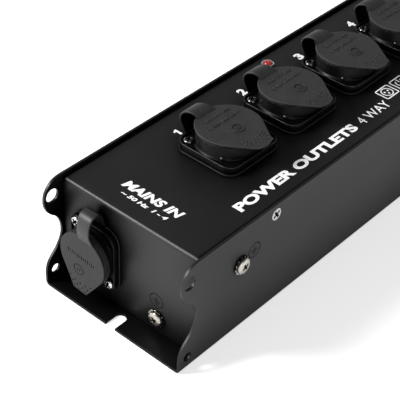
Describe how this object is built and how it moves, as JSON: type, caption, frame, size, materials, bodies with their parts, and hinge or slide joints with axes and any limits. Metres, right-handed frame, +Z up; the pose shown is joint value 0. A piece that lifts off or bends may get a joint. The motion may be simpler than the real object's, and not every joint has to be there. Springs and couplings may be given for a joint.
{
  "type": "portable power distribution box",
  "caption": "Long low power distribution box in folded black steel with capped round outlets on top, a capped inlet at the end and protective ears with holes.",
  "frame": {"origin": "middle of the bottom plate's underside", "axes": "+X along the box from the inlet end to the link end, +Y across the box towards the far wall, +Z up out of the outlet panel"},
  "size_m": [0.2817, 0.0828, 0.0673],
  "materials": {
    "powder_coat": "fine satin black powder coat",
    "connector_plastic": "black moulded connector plastic, half gloss",
    "contact_carrier": "dark grey insulating moulding",
    "seal_rubber": "matte black rubber",
    "cap_rubber": "matte dark grey rubber",
    "nickel": "nickel plated",
    "black_screw": "blackened steel with bright wear",
    "chrome": "polished",
    "lens_red": "translucent red lens",
    "wire_brown": "brown insulation",
    "wire_blue": "blue insulation",
    "wire_green_yellow": "green and yellow insulation"
  },
  "bodies": {
    "enclosure": {"chassis_tray": "powder_coat", "top_cover": "powder_coat", "cover_screw_near_inlet": "nickel", "cover_screw_far_inlet": "nickel", "cover_screw_near_link": "nickel", "cover_screw_far_link": "nickel", "side_earth_washer": "nickel", "side_earth_screw": "nickel", "side_earth_nut": "nickel", "end_earth_washer": "nickel", "end_earth_screw": "nickel", "end_earth_nut": "nickel", "inlet_housing": "connector_plastic", "inlet_contacts": "contact_carrier", "inlet_gasket_strap": "seal_rubber", "inlet_screw_a": "nickel", "inlet_screw_b": "nickel", "link_housing": "connector_plastic", "link_contacts": "contact_carrier", "link_gasket_strap": "seal_rubber", "link_screw_a": "nickel", "link_screw_b": "nickel", "outlet_1_housing": "connector_plastic", "outlet_1_contacts": "contact_carrier", "outlet_1_gasket_strap": "seal_rubber", "outlet_1_screw_a": "black_screw", "outlet_1_screw_b": "black_screw", "outlet_2_housing": "connector_plastic", "outlet_2_contacts": "contact_carrier", "outlet_2_gasket_strap": "seal_rubber", "outlet_2_screw_a": "black_screw", "outlet_2_screw_b": "black_screw", "outlet_3_housing": "connector_plastic", "outlet_3_contacts": "contact_carrier", "outlet_3_gasket_strap": "seal_rubber", "outlet_3_screw_a": "black_screw", "outlet_3_screw_b": "black_screw", "outlet_4_housing": "connector_plastic", "outlet_4_contacts": "contact_carrier", "outlet_4_gasket_strap": "seal_rubber", "outlet_4_screw_a": "black_screw", "outlet_4_screw_b": "black_screw", "lamp_bezel": "chrome", "lamp_lens": "lens_red", "lamp_nut": "nickel", "wire_line": "wire_brown", "wire_neutral": "wire_blue", "wire_earth": "wire_green_yellow"},
    "inlet_cap_body": {"inlet_cap": "cap_rubber"},
    "link_cap_body": {"link_cap": "cap_rubber"},
    "outlet_1_cap_body": {"outlet_1_cap": "cap_rubber"},
    "outlet_2_cap_body": {"outlet_2_cap": "cap_rubber"},
    "outlet_3_cap_body": {"outlet_3_cap": "cap_rubber"},
    "outlet_4_cap_body": {"outlet_4_cap": "cap_rubber"}
  },
  "joints": [
    {"name": "inlet_cap_hinge", "type": "hinge", "parent": "enclosure", "child": "inlet_cap_body", "pos_m": [-0.1364, 0.0176, 0.0455], "axis": [0, 1, 0], "range_deg": [0, 150]},
    {"name": "link_cap_hinge", "type": "hinge", "parent": "enclosure", "child": "link_cap_body", "pos_m": [0.1378, 0.0176, 0.0449], "axis": [0, -1, 0], "range_deg": [0, 150]},
    {"name": "outlet_1_cap_hinge", "type": "hinge", "parent": "enclosure", "child": "outlet_1_cap_body", "pos_m": [-0.06465, 0.0193, 0.0638], "axis": [-1, 0, 0], "range_deg": [0, 150]},
    {"name": "outlet_2_cap_hinge", "type": "hinge", "parent": "enclosure", "child": "outlet_2_cap_body", "pos_m": [-0.02155, 0.0193, 0.0638], "axis": [-1, 0, 0], "range_deg": [0, 150]},
    {"name": "outlet_3_cap_hinge", "type": "hinge", "parent": "enclosure", "child": "outlet_3_cap_body", "pos_m": [0.02155, 0.0193, 0.0638], "axis": [-1, 0, 0], "range_deg": [0, 150]},
    {"name": "outlet_4_cap_hinge", "type": "hinge", "parent": "enclosure", "child": "outlet_4_cap_body", "pos_m": [0.06465, 0.0193, 0.0638], "axis": [-1, 0, 0], "range_deg": [0, 150]}
  ]
}
